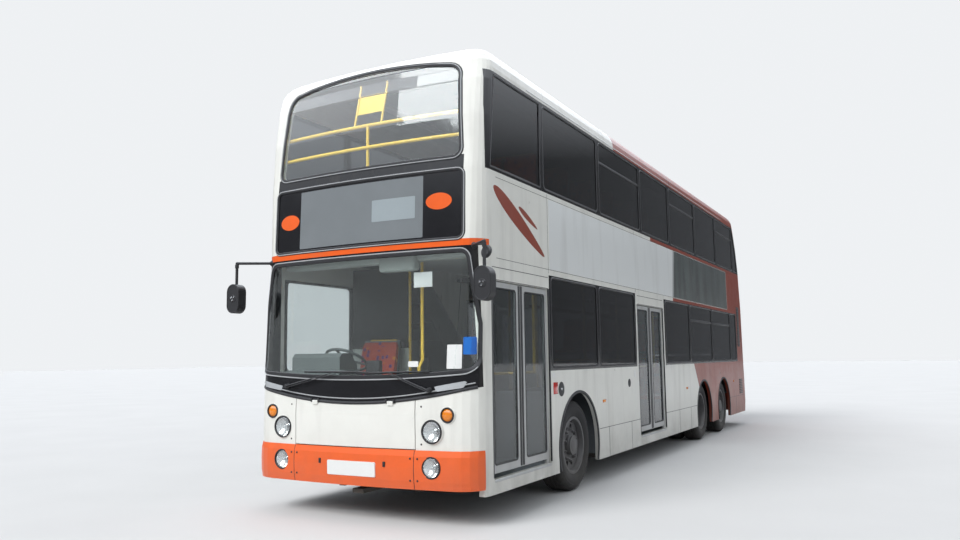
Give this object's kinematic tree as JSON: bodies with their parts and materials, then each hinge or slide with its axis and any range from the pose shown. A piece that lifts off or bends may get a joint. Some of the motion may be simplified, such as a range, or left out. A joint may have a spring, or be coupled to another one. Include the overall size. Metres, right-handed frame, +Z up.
{
  "type": "airport passenger bus, double-deck, three axles",
  "caption": "Double-deck passenger bus with low floor, front and centre doors, upper saloon over the full length and three axles, the front one steered.",
  "frame": {"origin": "on the road under the middle of the bounding box, which the body and the two mirrors span", "axes": "-Y to the front of the bus, +X to the side of the passenger doors, +Z up"},
  "size_m": [2.96, 12.06, 4.3998],
  "materials": {
    "chassis": "satin black chassis paint",
    "engine": "painted casting",
    "tyre": "worn road tyre",
    "rim": "satin grey paint",
    "floor": "speckled vinyl",
    "body_white": "gloss paint",
    "body_orange": "gloss paint",
    "plastic_white": "painted moulding",
    "plastic_orange": "painted moulding",
    "plastic_black": "gloss black moulding",
    "rubber": "matt",
    "glass": "tinted",
    "door_frame": "satin",
    "lens": "clear and coloured lenses",
    "mirror_shell": "textured",
    "seat": "patterned moquette",
    "handrail": "powder coated",
    "trim_grey": "moulded"
  },
  "bodies": {
    "body": {"chassis_frame": "chassis", "axles": "chassis", "engine_block": "engine", "lower_floor": "floor", "upper_floor": "floor", "bumper_front": "plastic_orange", "front_mask": "plastic_white", "cowl": "plastic_black", "front_upper_shell": "plastic_white", "destination_panel": "plastic_black", "windscreens": "glass", "nearside_panel": "body_white", "offside_panel": "body_white", "roof": "body_white", "rear_panel": "plastic_white", "windows": "glass", "lamps": "lens", "mirrors": "mirror_shell", "wipers": "rubber", "seats": "seat", "handrails": "handrail", "staircase": "trim_grey", "dashboard": "trim_grey"},
    "knuckle_nearside": {"knuckle_nearside": "chassis"},
    "knuckle_offside": {"knuckle_offside": "chassis"},
    "front_flap": {"front_flap": "plastic_white"},
    "engine_door": {"engine_door": "plastic_orange"},
    "emergency_door": {"emergency_door": "body_white", "emergency_door_glass": "glass"},
    "front_door_a": {"front_door_leaf_a": "door_frame", "front_door_glass_a": "glass"},
    "front_door_b": {"front_door_leaf_b": "door_frame", "front_door_glass_b": "glass"},
    "centre_door_a": {"centre_door_leaf_a": "door_frame", "centre_door_glass_a": "glass"},
    "centre_door_b": {"centre_door_leaf_b": "door_frame", "centre_door_glass_b": "glass"},
    "wheel_front_nearside": {"tyre_front_nearside": "tyre", "rim_front_nearside": "rim"},
    "wheel_front_offside": {"tyre_front_offside": "tyre", "rim_front_offside": "rim"},
    "wheel_drive_nearside": {"tyre_drive_nearside": "tyre", "rim_drive_nearside": "rim"},
    "wheel_drive_offside": {"tyre_drive_offside": "tyre", "rim_drive_offside": "rim"},
    "wheel_tag_nearside": {"tyre_tag_nearside": "tyre", "rim_tag_nearside": "rim"},
    "wheel_tag_offside": {"tyre_tag_offside": "tyre", "rim_tag_offside": "rim"}
  },
  "joints": [
    {"name": "steer_nearside", "type": "hinge", "parent": "body", "child": "knuckle_nearside", "pos_m": [0.9, -3.56, 0.48], "axis": [0, 0, 1], "range_deg": [-38, 38]},
    {"name": "steer_offside", "type": "hinge", "parent": "body", "child": "knuckle_offside", "pos_m": [-0.9, -3.56, 0.48], "axis": [0, 0, 1], "range_deg": [-38, 38]},
    {"name": "spin_front_nearside", "type": "hinge", "parent": "knuckle_nearside", "child": "wheel_front_nearside", "pos_m": [1.0525, -3.56, 0.48], "axis": [1, 0, 0], "continuous": true},
    {"name": "spin_front_offside", "type": "hinge", "parent": "knuckle_offside", "child": "wheel_front_offside", "pos_m": [-1.0525, -3.56, 0.48], "axis": [1, 0, 0], "continuous": true},
    {"name": "spin_drive_nearside", "type": "hinge", "parent": "body", "child": "wheel_drive_nearside", "pos_m": [0.8925, 2.23, 0.48], "axis": [1, 0, 0], "continuous": true},
    {"name": "spin_drive_offside", "type": "hinge", "parent": "body", "child": "wheel_drive_offside", "pos_m": [-0.8925, 2.23, 0.48], "axis": [1, 0, 0], "continuous": true},
    {"name": "spin_tag_nearside", "type": "hinge", "parent": "body", "child": "wheel_tag_nearside", "pos_m": [1.0525, 3.81, 0.48], "axis": [1, 0, 0], "continuous": true},
    {"name": "spin_tag_offside", "type": "hinge", "parent": "body", "child": "wheel_tag_offside", "pos_m": [-1.0525, 3.81, 0.48], "axis": [1, 0, 0], "continuous": true},
    {"name": "front_door_a_swing", "type": "hinge", "parent": "body", "child": "front_door_a", "pos_m": [1.205, -5.54, 1.2], "axis": [0, 0, 1], "range_deg": [0, 88]},
    {"name": "front_door_b_swing", "type": "hinge", "parent": "body", "child": "front_door_b", "pos_m": [1.205, -4.36, 1.2], "axis": [0, 0, 1], "range_deg": [-88, 0]},
    {"name": "centre_door_a_swing", "type": "hinge", "parent": "body", "child": "centre_door_a", "pos_m": [1.205, -1.36, 1.2], "axis": [0, 0, 1], "range_deg": [0, 88]},
    {"name": "centre_door_b_swing", "type": "hinge", "parent": "body", "child": "centre_door_b", "pos_m": [1.205, -0.2, 1.2], "axis": [0, 0, 1], "range_deg": [-88, 0]},
    {"name": "front_flap_lift", "type": "hinge", "parent": "body", "child": "front_flap", "pos_m": [0, -5.93571, 1.05513], "axis": [1, 0, 0], "range_deg": [-80, 0]},
    {"name": "engine_door_lift", "type": "hinge", "parent": "body", "child": "engine_door", "pos_m": [0, 5.97712, 1.766], "axis": [1, 0, 0], "range_deg": [0, 80]},
    {"name": "emergency_door_swing", "type": "hinge", "parent": "body", "child": "emergency_door", "pos_m": [-1.25, -0.672, 1.33], "axis": [0, 0, 1], "range_deg": [0, 95]}
  ],
  "couplings": [
    {"joint": "steer_offside", "follows": "steer_nearside", "ratio": 1}
  ]
}
